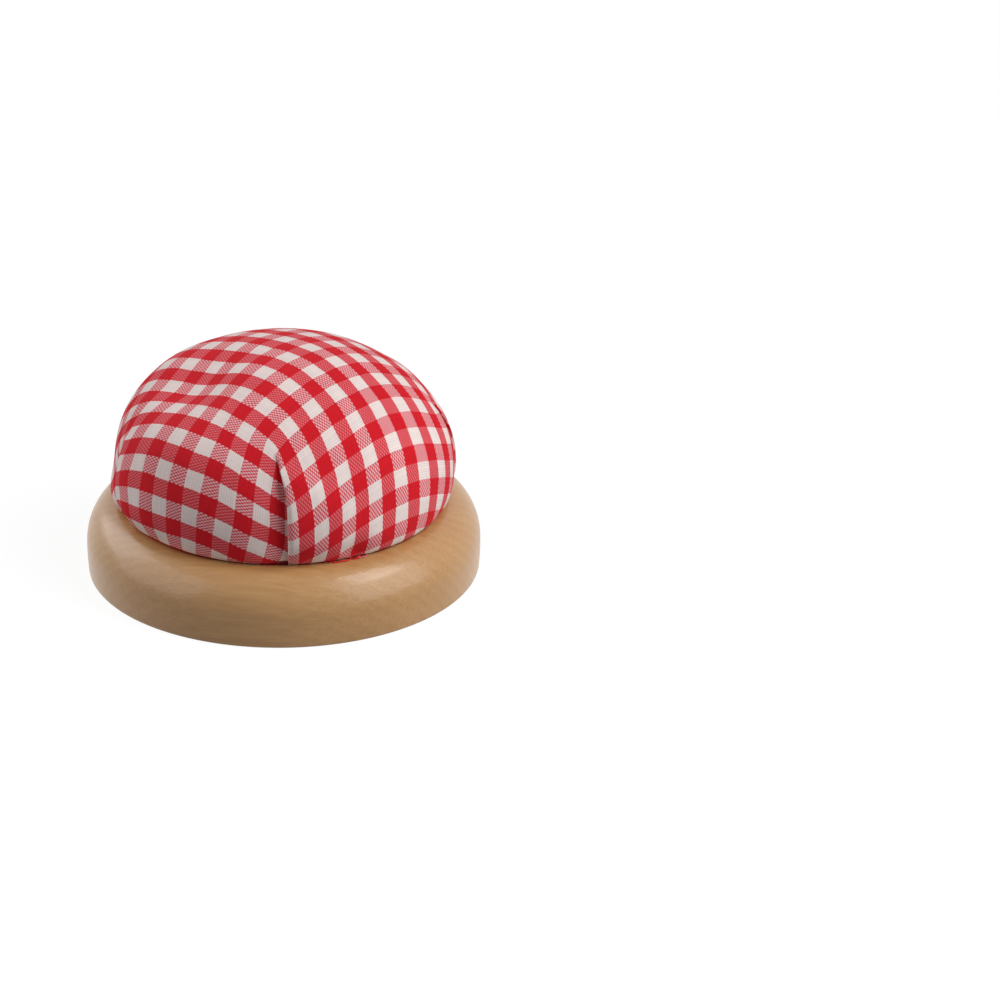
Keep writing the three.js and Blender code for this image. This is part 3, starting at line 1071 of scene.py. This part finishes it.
def dried_glue():
    material, tree, surface = new_material("dried_glue", {"Subsurface Weight": 0.2, "Coat Weight": 0.3})
    place = object_place(tree)
    clouds = noisy(tree, place, 0.3, 3.0)
    bubbles = ramp(tree, noisy(tree, place, 1.6, 1.0), 0.62, 0.7)
    colour = mixed(tree, ramp(tree, clouds, 0.3, 0.7), GLUE_DARK, GLUE_PALE)
    tree.links.new(mixed(tree, bubbles, colour, GLUE_BUBBLE), surface.inputs["Base Color"])
    tree.links.new(ramp(tree, clouds, 0.3, 0.7, 0.25, 0.45), surface.inputs["Roughness"])
    bump(tree, surface, maths(tree, "ADD", clouds, bubbles), 0.2, 0.5)
    return material


def shown_to_eye(tree):
    """1 for rays that show a background, seen straight, in gloss or through glass."""
    path = node(tree, "LightPath").outputs
    seen = maths(tree, "MAXIMUM", path["Is Camera Ray"], path["Is Glossy Ray"])
    return maths(tree, "MAXIMUM", seen, path["Is Transmission Ray"])


def floor():
    """A floor under the object that takes its shadow and looks white."""
    points, faces = turned(np.array([(ring, -FLOOR_DROP) for ring in FLOOR_RINGS]), FLOOR_COLUMNS)
    sheet = mesh_piece("floor", points, faces[:, ::-1])
    weld(sheet, WELD_DISTANCE)
    finish = {"Roughness": 1, "Specular IOR Level": 0, "Base Color": FLOOR_TINT, "Emission Color": WHITE}
    material, tree, surface = new_material("floor_paper", finish)
    level = maths(tree, "MULTIPLY", shown_to_eye(tree), FLOOR_GLOW)
    tree.links.new(level, surface.inputs["Emission Strength"])
    wear(sheet, material)


def backdrop():
    """White where it is seen, and a dim even light on the object."""
    world = bpy.context.scene.world or bpy.data.worlds.new("studio")
    bpy.context.scene.world = world
    world.use_nodes = True
    tree = world.node_tree
    surface = tree.nodes["Background"]
    surface.inputs["Color"].default_value = WHITE
    tree.links.new(ramp(tree, shown_to_eye(tree), 0, 1, AMBIENT, 1), surface.inputs["Strength"])


def lamp(name, azimuth, elevation, distance, size, level):
    """A square soft lamp; level is how bright it makes a white surface that faces it."""
    light = bpy.data.lights.new(name, "AREA")
    light.size = size
    light.energy = level * math.pi**2 * distance**2
    holder = bpy.data.objects.new(name, light)
    bpy.context.scene.collection.objects.link(holder)
    turn, climb = math.radians(azimuth), math.radians(elevation)
    level_way = Vector((math.sin(turn), -math.cos(turn), 0))
    way = level_way * math.cos(climb) + Vector((0, 0, math.sin(climb)))
    holder.location = way * distance
    holder.rotation_euler = way.to_track_quat("Z", "Y").to_euler()


def camera():
    lens = bpy.data.cameras.new("photo_camera")
    lens.lens = CAMERA_LENS
    lens.sensor_width = CAMERA_SENSOR
    holder = bpy.data.objects.new("photo_camera", lens)
    bpy.context.scene.collection.objects.link(holder)
    tilt = Matrix.Rotation(math.radians(90 - CAMERA_PITCH), 4, "X")
    roll = Matrix.Rotation(math.radians(CAMERA_ROLL), 4, "Z")
    holder.matrix_world = Matrix.Translation(Vector(CAMERA_PLACE) * MM) @ tilt @ roll
    bpy.context.scene.camera = holder


def stand_in(piece, node_name):
    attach(piece, "root")
    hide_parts(node_name)


camera()
floor()
backdrop()
for name, settings in LAMPS.items():
    lamp(name, *settings)

cover = cushion_cover()
wear(cover, gingham())
stand_in(cover, "cushion_cover")

yarns = frayed_yarns()
wear(yarns, cover.data.materials[0])
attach(yarns, "root")

base = wood_base()
wear(base, lacquered_wood())
stand_in(base, "wood_base")

filling = stuffing()
wear(filling, fibre_fill())
stand_in(filling, "stuffing")

thread = gathering_thread()
wear(thread, cotton_thread())
stand_in(thread, "gathering_thread")

wear(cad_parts["backing_disc"], grey_board())
wear(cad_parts["glue_ring"], dried_glue())

bpy.context.scene.view_settings.view_transform = "Standard"
